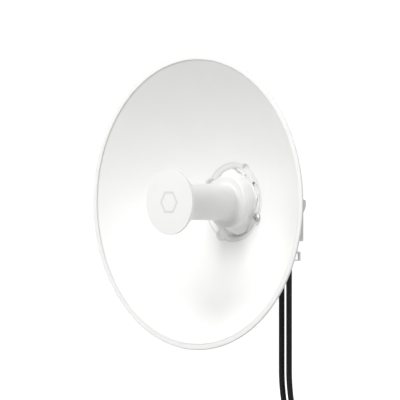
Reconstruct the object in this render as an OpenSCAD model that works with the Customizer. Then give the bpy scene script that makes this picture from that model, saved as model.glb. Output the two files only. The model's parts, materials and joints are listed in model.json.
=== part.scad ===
// Outdoor point-to-point wireless bridge: a dish reflector with a rear radio, a splash-plate feed,
// a tilting yoke and a clamp for a vertical pole.
//
// Frame: the origin is on the pole's axis, level with the boresight. +Z is up along the pole, the dish
// looks along -Y, and the boresight stands to the +X side of the pole. Millimetres.
//
// "Depth" below means the distance behind the front plane of the reflector's rim.

/* [Reflector] */
// Outside diameter of the reflector's rim
dish_d = 467; // [464:1:470]
// Focal length of the paraboloid
focal = 144; // [143:0.5:145]
// Thickness of the spun sheet
sheet = 1.6; // [1.4:0.1:1.8]
// Width of the rolled rim, seen from the front
rim_w = 9.5; // [9:0.5:10]

/* [Feed] */
// Outside diameter of the feed tube
feed_tube_d = 57.2; // [57:0.1:57.4]
// Diameter of the cap in front of the sub-reflector
cap_d = 103; // [102:1:105]
// How far the cap's front face stands ahead of the rim
cap_ahead = 62; // [60:1:64]

/* [Pole clamp] */
// Diameter of the pole that the saddle and the jaw are shaped to
pole_d = 76.2; // [76:0.1:76.4]
// Height of the saddle and the jaw along the pole
clamp_h = 50; // [48:1:52]

/* [Placing] */
// Sideways distance from the pole's axis to the boresight
boresight_x = 120; // [120:1:124]
// Distance from the rim's front plane back to the pole's axis
rim_ahead = 140; // [140:1:142]

/* [Cables] */
// Outside diameter of each outdoor network cable
cable_d = 9.2; // [8.8:0.1:9.2]
// How far the cables hang below the boresight
cable_drop = 330; // [300:5:360]

/* [Hidden] */
$fn = 96;

// Small gaps between pieces
slip = 0.2;        // parts that slide or drop into place
run = 0.05;        // radial clearance of a shaft that turns in its hole
over = 1;          // how far a cut runs past the face it cuts
through = 210;     // deep enough to cut through the whole radio from the front

// Reflector: the front surface is a paraboloid, and depth falls as the radius grows
rim_r = dish_d / 2;
bowl_r = rim_r - rim_w;
lip_r = 1.4;                            // the rim's outer edge is rounded to this radius
rim_step = 1.3;                         // depth at which the bowl meets the rim
bowl_steps = 40;
vertex_depth = bowl_r * bowl_r / (4 * focal) + rim_step;
hem = 2.6;                              // the rim's folded edge reaches back this far

// Hub recess: a shallow pressed cup with four lobes
hub_r = 62;
lobe_at = 55;
lobe_r = 12;
lobe_angle = 62;                        // first lobe, counter-clockwise from +X seen from the front
cup_deep = 4.3;
cup_taper = 7;                          // the recess narrows by this much from its lip to its floor
lobe_taper = 1.8;
hub_lip = surface_depth(hub_r);
floor_front = hub_lip + cup_deep;
floor_back = floor_front + sheet;
hub_hole_r = 53.2;
gasket_hole_r = 55;
gasket_r = 58.5;
land_r = hub_hole_r - 0.3;              // the adapter's lands fill the hole in the recess's floor
land_front = floor_front + 0.3;
hub_screw_at = 54.6;
hub_screw_angle = 334.5;
hub_screw_head = 7.2;
hub_screw_r = 3;
hub_tab_r = 7.6;                        // the floor's tab of metal under the screw
gasket_t = 1;
adapter_front = floor_back + gasket_t;
adapter_back = adapter_front + 8;
adapter_r = 61;
adapter_screw_at = 57;
adapter_screw_r = 1.5;

// Feed
tube_r = feed_tube_d / 2;
tube_wall = 2.2;
cap_r = cap_d / 2;
cap_t = 6.3;
cap_back = cap_t - cap_ahead;           // depth of the cap's rear edge
badge_flats = 34;
badge_inner = 27;
badge_t = 0.4;
collar_face = hub_lip - 17.2;           // depth of the collar's front face
collar_r = 42.5;
collar_base_r = 43.6;
flange_flat = 44;                       // half the width across the collar's flats
flange_r = 52.5;
latch_angle = 49;                       // the latch windows' middles stand at this angle
latch_half = 12.5;
latch_out = 48.9;
skirt = 1.9;                            // height of the collar's skirt beside the lugs
sleeve_r = 46;
sleeve_in = 43;
sleeve_end = adapter_back + 7.6;
wave_r = 24.5;
wave_wall = 1.7;
wave_end = 84;

// Radio housing
box_w = 76;
box_top = 72;
box_bottom = -85;
box_corner = 8;
wall = 2.5;
cast_wall = 3;
neck_front = adapter_back + 0.2;
neck_r = 63;
neck_t = 4.4;
box_front = neck_front + neck_t;
split_front = 147;                      // the seal lies between the two shells
split_back = 149;
box_back = 178;
post_x = 31.5;
post_low = box_bottom + 6.5;
post_high = box_top - 6.5;
board_y = 151;
board_t = 1.6;
board_post_x = 26;
board_post_z = [-62, 50];
ground_x = -18;
ground_z = -75;
ground_washer_t = 1.2;
tie_x = 17;
tie_z = [-71, -79];
tie_t = 2;
tie_arm_x = 26.5;                       // outer face of the arm that carries the loop
pcb_back = board_y + board_t;
heat_block = 157.2;                     // the shell's block meets the thermal pad here

// Things in the floor of the rear shell
button_x = -20;
button_y = 157;
lights_y = 160;
vent_x = -6;

// Ports
port_x = 8.2;                           // each port is this far from the boresight's plane
port_y = 198.5;
port_board_y = 189.5;
jack_size = [15.6, 14.8, 16];
jack_bottom = -34;
port_post_x = 20.5;
port_post_z = [-46, -12];
sill_back = 186;                        // the sill under the cover ends just ahead of this
cover_w = 59.6;
cover_back = 212.5;
cover_top = 2;
cover_bottom = -62;
cover_wall = 2.2;
cover_corner = 6;
hinge_y = 183;
hinge_z = 6;
hinge_r = 4;
hinge_pin_r = 1.5;
hinge_inner = 12;                       // the cover's knuckles run from here
hinge_middle = 20;                      // to here, and the shell's knuckles from here
hinge_outer = 26;                       // to here

// Tilt
pivot_y = 185;
pivot_z = -4.5;
pivot_r = 4;
lug_in = 32;
lug_r = 13;
ear_r = 17.5;                           // the yoke's rear ear, a little above and ahead of the pivot
ear_y = pivot_y - 2;
ear_z = pivot_z + 1.5;
ear_notch_r = 8;                        // a concave notch in its upper edge leaves a finger ledge
cheek_in = 41;
cheek_t = 3;
cheek_out = cheek_in + cheek_t;
bush_flange_r = 9;
bush_r = 6;
slot_arm = 62;                          // radius of the arc slot about the pivot
slot_lean = 25;                         // the slot's middle leans this far forward of vertical, degrees
tilt_range = 15;
lock_r = 3;
lock_y = pivot_y - slot_arm * sin(slot_lean);
lock_z = pivot_z + slot_arm * cos(slot_lean);
yoke_top = 92;
yoke_front = 140;
yoke_back = 174;
lanyard_r = 4.25;
saddle_screw_at = 16;                   // the saddle's four screws stand this far out, both ways
saddle_screw_r = 2.5;
saddle_screw_head = 4.7;

// Pole clamp, in the pole's own place
pole_r = pole_d / 2;
saddle_back = boresight_x - cheek_out;  // where the saddle meets the yoke
saddle_web = 6;
saddle_half = 30;                       // half the saddle plate's width
jaw_tip = 24;                           // the horns stop this far from the pole's axis plane
jaw_back = 42;
jaw_half = 37;
wing_near = 30;
wing_t = 10;
wing_far = wing_near + wing_t;
wing_y = 58;
clamp_bolt_y = 48;
clamp_bolt_r = 4;
clamp_bolt_l = 110;
m8_flats = 13;
m8_head = 5.3;
m8_nut = 6.8;
m6_flats = 10;
m6_head = 4;
washer_t = 1.6;

function surface_depth(r) = vertex_depth - r * r / (4 * focal);
// The unit normal that points out of the back of the bowl, as [radius, depth]
function back_normal(r) = let (s = r / (2 * focal), n = sqrt(1 + s * s)) [s / n, 1 / n];
function front_point(r) = [r, surface_depth(r)];
function back_point(r) = front_point(r) + sheet * back_normal(r);
function lobe_turn(i) = lobe_angle + 90 * i;

// Placing helpers ------------------------------------------------------------------------------

module at_boresight() translate([boresight_x, -rim_ahead, 0]) children();

// A solid drawn along +Z is laid along +Y, starting at depth y0
module along_y(y0) translate([0, y0, 0]) rotate([-90, 0, 0]) children();

// A profile of [radius, depth] points turned about the boresight
module turned() rotate([-90, 0, 0]) rotate_extrude() children();

// A drawing in the X-Z plane made solid from depth y0 to y1
module slab_y(y0, y1) translate([0, y1, 0]) rotate([90, 0, 0]) linear_extrude(y1 - y0) children();

// A drawing in the Y-Z plane made solid from x0 to x1
module slab_x(x0, x1) translate([x0, 0, 0]) rotate([90, 0, 90]) linear_extrude(x1 - x0) children();

module slab_z(z0, z1) translate([0, 0, z0]) linear_extrude(z1 - z0) children();

module box(x, y, z) translate([x[0], y[0], z[0]]) cube([x[1] - x[0], y[1] - y[0], z[1] - z[0]]);

module rod_y(r, y0, y1, x = 0, z = 0)
    translate([x, y0, z]) rotate([-90, 0, 0]) cylinder(r = r, h = y1 - y0);

module rod_x(r, x0, x1, y = 0, z = 0)
    translate([x0, y, z]) rotate([0, 90, 0]) cylinder(r = r, h = x1 - x0);

module rod_z(r, z0, z1, x = 0, y = 0) translate([x, y, z0]) cylinder(r = r, h = z1 - z0);

module both_sides() {
    children();
    mirror([1, 0, 0]) children();
}

// A rectangle with round corners, made of true arcs, from [x0, y0] to [x1, y1]
module round_rect(x, y, r) {
    translate([x[0] + r, y[0]]) square([x[1] - x[0] - 2 * r, y[1] - y[0]]);
    translate([x[0], y[0] + r]) square([x[1] - x[0], y[1] - y[0] - 2 * r]);
    for (cx = [x[0] + r, x[1] - r], cy = [y[0] + r, y[1] - r])
        translate([cx, cy]) circle(r);
}

// Something placed at a radius and an angle in the front view
module at_turn(r, a) translate([r * cos(a), 0, r * sin(a)]) children();

// A hexagonal prism along +Z, measured across its flats
module hex(flats, h) cylinder(r = flats / sqrt(3), h = h, $fn = 6);

// A cross recess cut into a screw head whose face is at z = 0, with the screw along +Z
module cross_recess(size, depth) {
    for (a = [0, 90])
        rotate([0, 0, a]) translate([-size / 2, -size / 8, -over]) cube([size, size / 4, depth + over]);
}

// A pan-head screw along +Z with the underside of its head at z = 0
module pan_screw(r, head_r, head_h, length) {
    difference() {
        translate([0, 0, -head_h]) cylinder(r1 = head_r * 0.82, r2 = head_r, h = head_h);
        translate([0, 0, -head_h]) cross_recess(head_r * 1.2, head_h * 0.6);
    }
    cylinder(r = r, h = length);
}

// Reflector ------------------------------------------------------------------------------------

module bowl() {
    r0 = hub_r - 2;
    step_r = bowl_r + 1.5;                // where the flat of the rim begins
    front = [for (i = [0:bowl_steps]) front_point(r0 + (bowl_r - r0) * i / bowl_steps)];
    edge = [for (a = [90:-15:0]) [rim_r - lip_r + lip_r * cos(a), lip_r - lip_r * sin(a)]];
    back = [for (i = [bowl_steps:-1:0]) back_point(r0 + (bowl_r - r0) * i / bowl_steps)];
    turned() polygon(concat(front, [[bowl_r + 0.6, 0.3], [step_r, 0]], edge,
        [[rim_r, hem], [rim_r - sheet, hem], [rim_r - sheet, sheet], [step_r + 0.7, sheet]], back));
}

// Everything behind the reflector's front surface, near the hub
module behind_bowl() {
    r1 = 80;
    turned() polygon(concat([for (i = [0:12]) front_point(r1 * i / 12)], [[r1, 110], [0, 110]]));
}

// The pressed cup, grown outwards by `grow`, down to depth y1
module hub_cup(grow, y1) {
    taper = cup_taper / cup_deep;
    deep = y1 - hub_lip;
    along_y(hub_lip - 12) cylinder(r = hub_r + grow, h = 12);
    along_y(hub_lip) cylinder(r1 = hub_r + grow, r2 = hub_r + grow - taper * deep, h = deep);
    for (i = [0:3]) at_turn(lobe_at, lobe_turn(i)) {
        along_y(hub_lip - 12) cylinder(r = lobe_r + grow, h = 12);
        along_y(hub_lip) cylinder(r1 = lobe_r + grow, r2 = lobe_r + grow - lobe_taper, h = deep);
    }
}

module reflector() color("white") at_boresight() {
    difference() {
        union() {
            bowl();
            intersection() {
                hub_cup(sheet * 1.2, floor_back);
                behind_bowl();
            }
        }
        hub_cup(0, floor_front);
        difference() {
            rod_y(hub_hole_r, floor_front - over, floor_back + over);
            hub_screw_holes(0, through, hub_tab_r);
        }
        hub_screw_holes(0, through);
    }
}

module hub_screw_holes(y0, y1, r = hub_screw_r + slip) {
    at_turn(hub_screw_at, hub_screw_angle) rod_y(r, y0, y1);
}

// Kept a little back from the hole's edge, so that it doesn't show from the front
module hub_gasket() color("dimgray") at_boresight() difference() {
    union() {
        rod_y(gasket_r, floor_back, adapter_front);
        hub_screw_holes(floor_back, adapter_front, 7);
    }
    difference() {
        rod_y(gasket_hole_r, floor_back - over, adapter_front + over);
        hub_screw_holes(0, through, hub_tab_r);
    }
    hub_screw_holes(0, through);
}

// Part of a ring about the boresight, between two angles of the front view
module ring_sector(r0, r1, a0, a1, y0, y1) {
    reach = 1.3 * r1;
    intersection() {
        difference() {
            rod_y(r1, y0, y1);
            rod_y(r0, y0 - over, y1 + over);
        }
        slab_y(y0 - over, y1 + over)
            polygon([[0, 0], reach * [cos(a0), sin(a0)], reach * [cos(a1), sin(a1)]]);
    }
}

// Something turned to stand at an angle of the front view, on both sides of the hub
module at_both_ends(a) for (i = [0, 2]) rotate([0, -a - 90 * i, 0]) children();

// A long latch window with a wider end, and a short one beside a flat of the collar
module latch_windows(r_in, y0, y1) {
    at_both_ends(latch_angle) {
        box([r_in, latch_out], [y0, y1], [-latch_half, latch_half]);
        box([r_in, latch_out + 2.4], [y0, y1], [-latch_half - 0.5, -latch_half + 4]);
    }
    at_both_ends(lobe_angle) box([r_in, flange_flat + 2.6], [y0, y1], [9.5, 25]);
}

// A spring tongue stands in each long window
module latch_tongues(y0, y1) at_both_ends(latch_angle)
    box([latch_out - 2.7, latch_out - 1.1], [y0, y1], [-latch_half + 4.5, latch_half - 1]);

// The square round the collar's two lugs, grown by `grow`
module lug_quadrants(grow, y0, y1) rotate([0, -lobe_angle, 0]) {
    box([0, flange_flat + grow], [y0, y1], [0, flange_flat + grow]);
    box([-flange_flat - grow, 0], [y0, y1], [-flange_flat - grow, 0]);
}

module adapter_screw_places(y) for (i = [0:3])
    at_turn(adapter_screw_at, lobe_turn(i) + 45) translate([0, y, 0]) rotate([-90, 0, 0]) children();

// Moulded ring behind the reflector. Its lands fill the hole in the recess's floor.
module hub_adapter() color("whitesmoke") at_boresight() difference() {
    union() {
        rod_y(adapter_r, adapter_front, adapter_back);
        for (i = [0:3]) at_turn(lobe_at, lobe_turn(i)) rod_y(7, adapter_front, adapter_back);
        difference() {
            rod_y(land_r, land_front, adapter_front + 0.01);
            lug_quadrants(slip, 0, adapter_front);
            hub_screw_holes(0, adapter_front, hub_tab_r + 0.3);
        }
        // A small stop beside each short window, and a pad beside the end of the track
        at_both_ends(lobe_angle + 19.5) rod_y(2.3, land_front - 0.9, adapter_front, 50, 0);
        ring_sector(50.8, land_r, -17, 11, land_front - 0.5, adapter_front);
    }
    // Track in which a lug of the collar turns
    ring_sector(47.6, 52.2, 11, 33, land_front - over, land_front + 1.6);
    rod_y(sleeve_r + slip, adapter_front - 4, adapter_back + over);
    difference() {
        latch_windows(sleeve_r - over, 0, through);
        latch_tongues(land_front + 1.2, adapter_back);
    }
    hub_screw_holes(0, through);
    adapter_screw_places(adapter_front) {
        cylinder(r1 = 2 * adapter_screw_r, r2 = adapter_screw_r + 0.1, h = 1.6);
        translate([0, 0, -over]) cylinder(r = adapter_screw_r + 0.1, h = 12);
    }
}

module adapter_screws() color("silver") at_boresight() adapter_screw_places(adapter_front + 0.1)
    difference() {
        union() {
            cylinder(r1 = 2 * adapter_screw_r - slip, r2 = adapter_screw_r, h = 1.5);
            cylinder(r = adapter_screw_r, h = box_front - 0.6 - adapter_front);
        }
        cross_recess(3, 0.9);
    }

module hub_lock_screw() color("silver") at_boresight()
    at_turn(hub_screw_at, hub_screw_angle) {
        rod_y(hub_screw_head + 0.4, floor_front - 0.8, floor_front);
        along_y(floor_front - 0.8) pan_screw(hub_screw_r, hub_screw_head, 4, box_front + 3 - floor_front);
    }

// Feed -----------------------------------------------------------------------------------------

module subreflector_cap() color("white") at_boresight() {
    edge = 0.9;
    skin = 2;
    front = -cap_ahead;
    turned() polygon([
        [0, front], [cap_r - edge, front], [cap_r, front + edge], [cap_r, cap_back - 0.4],
        [cap_r - 0.4, cap_back], [cap_r - skin, cap_back], [cap_r - skin, front + skin], [0, front + skin],
    ]);
}

// A plain six-sided ring of film, as a blank for a label
module cap_badge() color("gainsboro") at_boresight() difference() {
    along_y(-cap_ahead - badge_t) hex(badge_flats, badge_t);
    along_y(-cap_ahead - badge_t - over) hex(badge_inner, badge_t + 2 * over);
}

module subreflector_plate() color("silver") at_boresight() {
    front = -cap_ahead + 2.2;
    edge = cap_r - 3;
    turned() polygon([[0, front], [edge, front], [edge, front + 1.5], [8, front + 1.5], [0, front + 7.5]]);
}

module dielectric_plug() color("ivory") at_boresight() {
    r = wave_r - wave_wall - 0.1;
    turned() polygon([[0, -51.6], [9, -51.6], [r, -49.8], [r, -36], [9, -36], [0, -30]]);
}

module feed_tube() color("white") at_boresight() {
    flange_front = cap_back - 2;
    flange = cap_r - 2.2;
    stop = collar_face + 7.5;
    turned() polygon([
        [tube_r - tube_wall, flange_front], [flange, flange_front], [flange, cap_back],
        [tube_r + 2.5, cap_back], [tube_r, cap_back + 2.5], [tube_r, stop], [tube_r - tube_wall, stop],
    ]);
}

// Stepped collar: a fillet to the tube, a rounded shoulder, two lugs, a skirt, and a sleeve into the radio
module feed_collar() color("white") at_boresight() {
    bore = tube_r + 0.1;
    fillet = 3.6;
    shoulder = 4;
    lug_long = 13;
    lug_rim = 4.4;
    socket = collar_face + 7.6;
    flange_back = adapter_front - slip;
    fillet_arc = [for (a = [0:15:90])
        [bore + 0.5 + fillet - fillet * cos(a), collar_face - fillet + fillet * sin(a)]];
    shoulder_arc = [for (a = [90:-15:0])
        [collar_r - shoulder + shoulder * cos(a), collar_face + shoulder - shoulder * sin(a)]];
    difference() {
        union() {
            turned() polygon(concat(
                [[bore, collar_face - fillet]], fillet_arc, shoulder_arc,
                [
                    [collar_base_r, flange_back], [sleeve_r, flange_back], [sleeve_r, sleeve_end],
                    [sleeve_in, sleeve_end], [sleeve_in, flange_back],
                    [collar_r - 3.5, flange_back - 4], [collar_r - 3.5, socket + 3],
                    [wave_r + 0.3, socket + 3], [wave_r + 0.3, socket], [bore, socket],
                ]));
            intersection() {
                turned() polygon([
                    [40, flange_back - lug_long], [collar_base_r - 1, flange_back - lug_long],
                    [flange_r, flange_back - lug_rim], [flange_r, flange_back], [40, flange_back],
                ]);
                lug_quadrants(0, 0, through);
            }
            difference() {
                rod_y(sleeve_r, flange_back - skirt, flange_back);
                rod_y(collar_base_r - 1, 0, through);
            }
        }
        difference() {
            latch_windows(flange_flat + 0.3, flange_back - skirt - over, flange_back + 2.5);
            lug_quadrants(0.3, 0, flange_back - skirt);
        }
        // Groove for the sleeve's sealing ring
        turned() translate([sleeve_r - 1.5, sleeve_end - 4.6]) square([3, 2.4]);
        // Groove for the tube's sealing ring
        turned() translate([bore - 1, collar_face + 2]) square([2.4, 2.2]);
    }
}

module feed_o_rings() color("black") at_boresight() {
    turned() translate([sleeve_r - 0.68, sleeve_end - 3.4]) circle(0.78, $fn = 24);
    turned() translate([tube_r + 0.78, collar_face + 3.1]) circle(0.7, $fn = 24);
}

module waveguide() color("lightgray") at_boresight()
    turned() translate([wave_r - wave_wall, -49.5]) square([wave_wall, wave_end + 49.5]);

module probe_board() color("darkgreen") at_boresight() {
    difference() {
        union() {
            rod_y(wave_r, wave_end + 0.1, wave_end + 1.7);
            box([-32, 32], [wave_end + 0.1, wave_end + 1.7], [-5, 5]);
        }
        rod_y(1, 0, through);
    }
    for (a = [0:90:270]) at_turn(9, a) rod_y(0.8, wave_end - 14, wave_end + 0.2);
}

module backshort() color("lightgray") at_boresight()
    difference() {
        rod_y(wave_r, wave_end + 1.8, wave_end + 14);
        rod_y(wave_r - wave_wall, wave_end + 1, wave_end + 12.5);
    }

module coax_leads() color("saddlebrown") at_boresight()
    both_sides() rod_y(0.9, wave_end + 1.8, board_y - 0.1, 28, 0);

// Radio housing --------------------------------------------------------------------------------

module box_outline(inset) round_rect([-box_w / 2 + inset, box_w / 2 - inset],
    [box_bottom + inset, box_top - inset], box_corner - inset);

module corner_posts(r, y0, y1) both_sides() for (z = [post_low, post_high]) rod_y(r, y0, y1, post_x, z);

// Front shell: a round neck behind the adapter, then the front half of the radio's box
module radio_front_shell() color("whitesmoke") at_boresight() {
    socket_r = sleeve_r + 0.15;
    stop = sleeve_end + slip;
    difference() {
        union() {
            rod_y(neck_r, neck_front, box_front);
            slab_y(box_front - 0.01, split_front) box_outline(0);
            hub_screw_holes(neck_front, box_front + 4, 6);
        }
        difference() {
            slab_y(box_front + wall, split_front + over) box_outline(wall);
            rod_y(socket_r + 3, box_front, stop + 2.5);
            corner_posts(4.6, 0, split_front);
            hub_screw_holes(neck_front, box_front + 4, 6);
        }
        rod_y(socket_r, neck_front - over, stop);
        rod_y(sleeve_in, neck_front, stop + 4);
        corner_posts(1.75, split_front - 14, split_front + over);
        hub_screw_holes(neck_front - over, box_front + over + 4, hub_screw_r + run);
        adapter_screw_places(neck_front - over) cylinder(r = adapter_screw_r + run, h = neck_t + over - 0.3);
    }
}

module pivot_lug_outline() {
    translate([pivot_y, pivot_z]) circle(lug_r);
    polygon([[box_back - 2, pivot_z - 20], [pivot_y, pivot_z - lug_r], [pivot_y, pivot_z + lug_r],
        [box_back - 2, pivot_z + 20]]);
}

// Rear shell: the cast half, with cooling fins, the tilt lugs, the port sill and the hinge knuckles
module radio_rear_shell() color("lightgray") at_boresight() {
    window_x = [-20, 20];
    window_z = [-50, -9];
    difference() {
        union() {
            difference() {
                slab_y(split_back, box_back) box_outline(0);
                slab_y(split_back - over, box_back - cast_wall) box_outline(cast_wall);
            }
            // Tilt lugs and the bosses for the lock bolts
            both_sides() {
                slab_x(lug_in, box_w / 2) pivot_lug_outline();
                rod_x(5.6, 26, box_w / 2 - 1, lock_y, lock_z);
            }
            intersection() {
                slab_y(split_back, box_back) box_outline(0);
                union() {
                    corner_posts(4.6, split_back, box_back);
                    board_posts(3.6, pcb_back, box_back);
                    rod_y(6, 162, box_back, ground_x, ground_z);
                    for (z = tie_z) rod_y(3.5, 166, box_back, tie_x, z);
                    box([-14, 14], [heat_block, box_back], [14, 44]);
                }
            }
            // Cooling fins
            for (i = [-3:3]) fin(8 * i);
            // Port board posts and the sill under the cover
            port_board_posts(3, box_back - 1, port_board_y);
            box([-22, 22], [box_back - 1, sill_back - 0.4], [cover_bottom, cover_bottom + 5]);
            // Hinge knuckles
            both_sides() {
                rod_x(hinge_r, hinge_middle + slip, hinge_outer, hinge_y, hinge_z);
                box([hinge_middle + slip, hinge_outer], [box_back - 1, hinge_y],
                    [hinge_z - hinge_r, hinge_z + hinge_r]);
            }
        }
        box(window_x, [box_back - cast_wall - over, box_back + over], window_z);
        both_sides() {
            rod_x(pivot_r + run, lug_in - over, box_w / 2 + over, pivot_y, pivot_z);
            rod_x(lock_r + run, 27, box_w / 2 + over, lock_y, lock_z);
            rod_x(hinge_pin_r + run, hinge_middle, hinge_outer - 1, hinge_y, hinge_z);
        }
        corner_posts(2.1, split_back - over, box_back + over);
        corner_posts(3.8, box_back - 3, box_back + over);
        board_posts(1.3, pcb_back - over, box_back - 8);
        port_board_posts(1.3, box_back, port_board_y + over);
        rod_y(2.5, 164, box_back + over, ground_x, ground_z);
        for (z = tie_z) rod_y(1.5, 168, box_back + over, tie_x, z);
        // Holes in the floor for the reset button, the vent and the status lights
        floor_hole(3, button_x, button_y);
        floor_hole(3, vent_x, lights_y);
        for (i = [0:3]) floor_hole(1.4, 6 + 6 * i, lights_y);
    }
}

module floor_hole(r, x, y) rod_z(r + run, box_bottom - over, box_bottom + cast_wall + over, x, y);

module fin(x) {
    root = box_back - 1;
    deep = 10;
    slab_x(x - 1, x + 1) polygon([[root, 14], [root + deep - 4, 14], [root + deep, 20], [root + deep, 54],
        [root + deep - 4, 60], [root, 60]]);
}

module board_posts(r, y0, y1) both_sides()
    for (z = board_post_z) rod_y(r, y0, y1, board_post_x, z);

module port_board_posts(r, y0, y1) both_sides()
    for (z = port_post_z) rod_y(r, y0, y1, port_post_x, z);

module shell_seal() color("black") at_boresight() difference() {
    slab_y(split_front, split_back) box_outline(0.6);
    slab_y(split_front - over, split_back + over) box_outline(wall + 0.6);
    corner_posts(5, 0, through);
}

module shell_screws() color("silver") at_boresight()
    both_sides() for (z = [post_low, post_high]) translate([post_x, box_back - 3, z])
        rotate([90, 0, 0]) pan_screw(1.7, 3.4, 2.6, box_back - 3 - split_front + 12);

module main_board() color("darkgreen") at_boresight() difference() {
    slab_y(board_y, pcb_back) round_rect([-33, 33], [-70, 59], 2);
    board_posts(1.6, 0, through);
}

module rf_shields() color("silver") at_boresight() {
    for (x = [-29, 3]) difference() {
        box([x, x + 26], [pcb_back, pcb_back + 3.2], [-8, 12]);
        box([x + 0.4, x + 25.6], [pcb_back - over, pcb_back + 2.8], [-7.6, 11.6]);
    }
}

module processor() color("dimgray") at_boresight() box([-10, 10], [pcb_back, pcb_back + 2.2], [19, 39]);

module thermal_pad() color("lightskyblue") at_boresight()
    box([-11, 11], [pcb_back + 2.2, heat_block], [18, 40]);

module link_connector() color("dimgray") at_boresight()
    box([-11, 11], [pcb_back, port_board_y], [-18, -12.5]);

module board_screws() color("silver") at_boresight() {
    both_sides() {
        for (z = board_post_z) translate([board_post_x, board_y, z])
            rotate([-90, 0, 0]) pan_screw(1.25, 2.6, 1.6, 12);
        for (z = port_post_z) translate([port_post_x, port_board_y + board_t, z])
            rotate([90, 0, 0]) pan_screw(1.25, 2.4, 1.6, 8);
    }
}

// Ports ----------------------------------------------------------------------------------------

module port_board() color("darkgreen") at_boresight() difference() {
    slab_y(port_board_y, port_board_y + board_t) round_rect([-25, 25], [-50, -8], 1.5);
    port_board_posts(1.6, 0, through);
}

module at_ports() for (side = [-1, 1]) translate([side * port_x, 0, 0]) children();

module ethernet_jacks() color("silver") at_boresight() at_ports() difference() {
    translate([-jack_size[0] / 2, port_board_y + board_t, jack_bottom]) cube(jack_size);
    box([-6.1, 6.1], [port_y - 4.2, port_y + 4.2], [jack_bottom - over, jack_bottom + 13.5]);
    box([-3.2, 3.2], [port_y + 4, port_y + 6], [jack_bottom - over, jack_bottom + 10]);
}

module cable_plugs() color("lightcyan") at_boresight() at_ports() {
    box([-5.85, 5.85], [port_y - 4, port_y + 4], [jack_bottom - 9, jack_bottom + 12.5]);
    box([-2.8, 2.8], [port_y + 4, port_y + 5.6], [jack_bottom - 5, jack_bottom + 9]);
}

module plug_boots() color("black") at_boresight() at_ports() difference() {
    slab_z(jack_bottom - 23, jack_bottom - 1) round_rect([-7.4, 7.4], [port_y - 6, port_y + 6.4], 2.5);
    box([-6, 6], [port_y - 4.1, port_y + 5.7], [jack_bottom - 9.1, jack_bottom]);
    rod_z(cable_d / 2, jack_bottom - 24, jack_bottom - 14);
    translate([0, port_y, 0]) rod_z(cable_d / 2, jack_bottom - 24, jack_bottom - 13);
}

// A cable: straight down from its boot, then a wide bend towards +X
module cable(x) translate([x, port_y, 0]) {
    top = jack_bottom - 13.2;
    bend_from = -266;
    bend_r = 250;
    turn = asin((cable_drop + bend_from) / bend_r);
    rod_z(cable_d / 2, bend_from, top);
    translate([bend_r, 0, bend_from]) rotate([90, 0, 0])
        rotate_extrude(angle = turn, start = 180) translate([bend_r, 0]) circle(cable_d / 2);
}

module main_cable() color("black") at_boresight() cable(-port_x);

module second_cable() color("black") at_boresight() cable(port_x);

// A rubber block around both cables, with a lip that the cover's floor closes onto
module cable_grommet() color("black") at_boresight() difference() {
    union() {
        slab_z(cover_bottom - 2.5, cover_bottom - slip) round_rect([-17, 17], [sill_back, port_y + 8], 5);
        slab_z(cover_bottom - 1, cover_bottom + 4) round_rect([-15.2, 15.2], [sill_back, port_y + 6.2], 4);
    }
    at_ports() rod_z(cable_d / 2 + 0.02, -80, -40, 0, port_y);
}

// Hinged cover over the ports; its floor is notched so that it swings back clear of the grommet
module port_cover() color("whitesmoke") at_boresight() {
    half = cover_w / 2;
    front = box_back + 0.3;
    difference() {
        union() {
            difference() {
                cover_block(0);
                cover_block(cover_wall);
                box([-15.4, 15.4], [front - over, port_y + 6.4],
                    [cover_bottom - over, cover_bottom + cover_wall + over]);
                box([-half + cover_wall, half - cover_wall], [front - over, sill_back],
                    [cover_bottom - over, cover_bottom + 6]);
            }
            both_sides() {
                rod_x(hinge_r, hinge_inner, hinge_middle, hinge_y, hinge_z);
                box([hinge_inner, hinge_middle], [hinge_y - hinge_r, hinge_y + hinge_r],
                    [cover_top - 2, hinge_z]);
            }
            // Grip rib across the lower edge
            rod_x(1.4, -18, 18, cover_back - 0.2, cover_bottom + 9);
        }
        // Notches around the shell's knuckles
        both_sides() box([hinge_middle, hinge_outer + 0.4], [front - over, hinge_y + hinge_r + 0.6],
            [cover_top - cover_wall - over, cover_top + over]);
        rod_x(hinge_pin_r + run, -hinge_middle - over, hinge_middle + over, hinge_y, hinge_z);
    }
}

// The cover's outer block, or its hollow when inset is the wall thickness
module cover_block(inset) {
    half = cover_w / 2 - inset;
    front = inset > 0 ? box_back - over : box_back + 0.3;
    chamfer = 5;
    intersection() {
        slab_z(cover_bottom + inset, cover_top - inset)
            union() {
                round_rect([-half, half], [front, cover_back - inset], cover_corner - inset / 2);
                translate([-half, front]) square([2 * half, 12]);
            }
        slab_x(-half - over, half + over) polygon([
            [front - over, cover_top - inset + over],
            [cover_back - inset - chamfer, cover_top - inset + over],
            [cover_back - inset, cover_top - inset - chamfer],
            [cover_back - inset, cover_bottom + inset + chamfer],
            [cover_back - inset - chamfer, cover_bottom + inset - 0.01],
            [cover_back - inset - chamfer, cover_bottom + inset - over],
            [front - over, cover_bottom + inset - over],
        ]);
    }
}

module hinge_pins() color("silver") at_boresight()
    both_sides() rod_x(hinge_pin_r, hinge_inner - 1, hinge_outer - 1.2, hinge_y, hinge_z);

module reset_button() color("dimgray") at_boresight() {
    floor_top = box_bottom + cast_wall;
    rod_z(3, box_bottom - 1.4, floor_top + 0.1, button_x, button_y);
    rod_z(4.2, floor_top + 0.1, floor_top + 1.2, button_x, button_y);
    rod_z(1.5, floor_top + 1, -75.6, button_x, button_y);
}

module reset_switch() color("dimgray") at_boresight()
    box([button_x - 4, button_x + 4], [pcb_back, 161], [-74.2, -69]);

module status_lights() color("palegreen") at_boresight() {
    for (i = [0:3]) rod_z(1.4, box_bottom - 0.4, box_bottom + cast_wall + 1, 6 + 6 * i, lights_y);
    box([4, 26], [lights_y - 3, lights_y + 3], [box_bottom + cast_wall + 0.1, box_bottom + cast_wall + 2]);
}

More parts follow.
